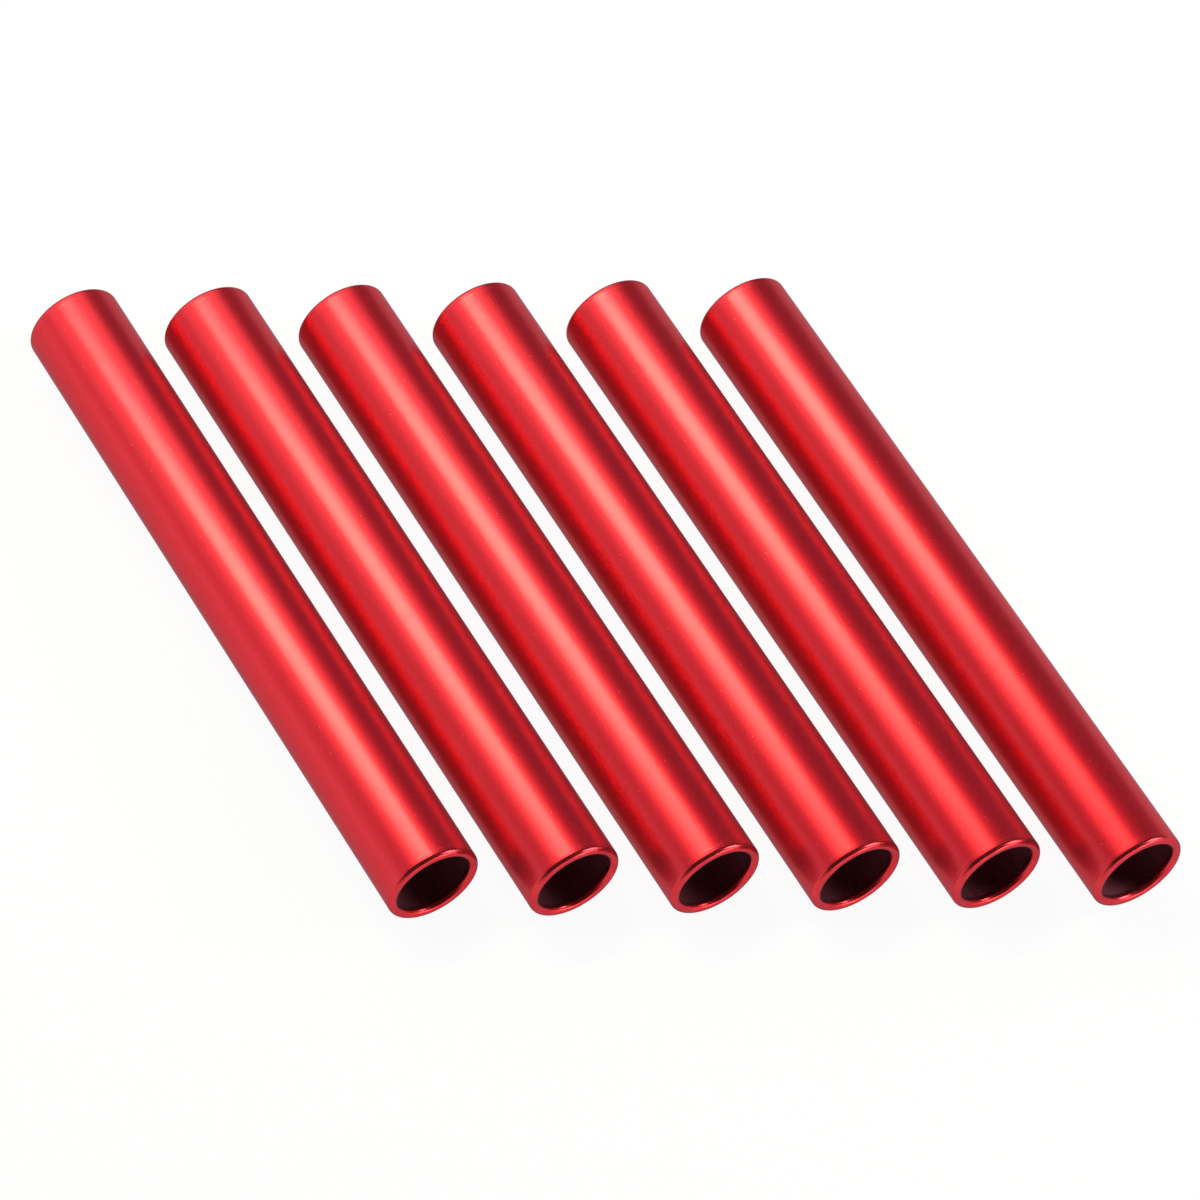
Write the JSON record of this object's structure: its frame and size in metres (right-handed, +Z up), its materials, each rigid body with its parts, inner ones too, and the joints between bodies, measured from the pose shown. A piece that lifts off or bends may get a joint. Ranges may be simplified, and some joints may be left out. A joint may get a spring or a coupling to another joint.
{
  "type": "relay baton set",
  "caption": "Set of identical hollow metal tubes, each open at both ends with an inward rolled rim, laid side by side in a stagger, for passing by hand from runner to runner.",
  "frame": {"origin": "on the ground, under the middle of the set", "axes": "+Y along the batons' axes, towards their far ends; +X across the set, from baton_1 to baton_6; +Z up"},
  "size_m": [0.2696, 0.4214, 0.0381],
  "materials": {
    "anodised_red": "satin, red anodised"
  },
  "bodies": {
    "baton_1": {"baton_1": "anodised_red"},
    "baton_2": {"baton_2": "anodised_red"},
    "baton_3": {"baton_3": "anodised_red"},
    "baton_4": {"baton_4": "anodised_red"},
    "baton_5": {"baton_5": "anodised_red"},
    "baton_6": {"baton_6": "anodised_red"}
  },
  "joints": [
    {"name": "lift_1", "type": "slide", "parent": "baton_3", "child": "baton_1", "axis": [0, 0, 1], "range_m": [0, 0.12]},
    {"name": "lift_2", "type": "slide", "parent": "baton_3", "child": "baton_2", "axis": [0, 0, 1], "range_m": [0, 0.12]},
    {"name": "lift_4", "type": "slide", "parent": "baton_3", "child": "baton_4", "axis": [0, 0, 1], "range_m": [0, 0.12]},
    {"name": "lift_5", "type": "slide", "parent": "baton_3", "child": "baton_5", "axis": [0, 0, 1], "range_m": [0, 0.12]},
    {"name": "lift_6", "type": "slide", "parent": "baton_3", "child": "baton_6", "axis": [0, 0, 1], "range_m": [0, 0.12]}
  ]
}
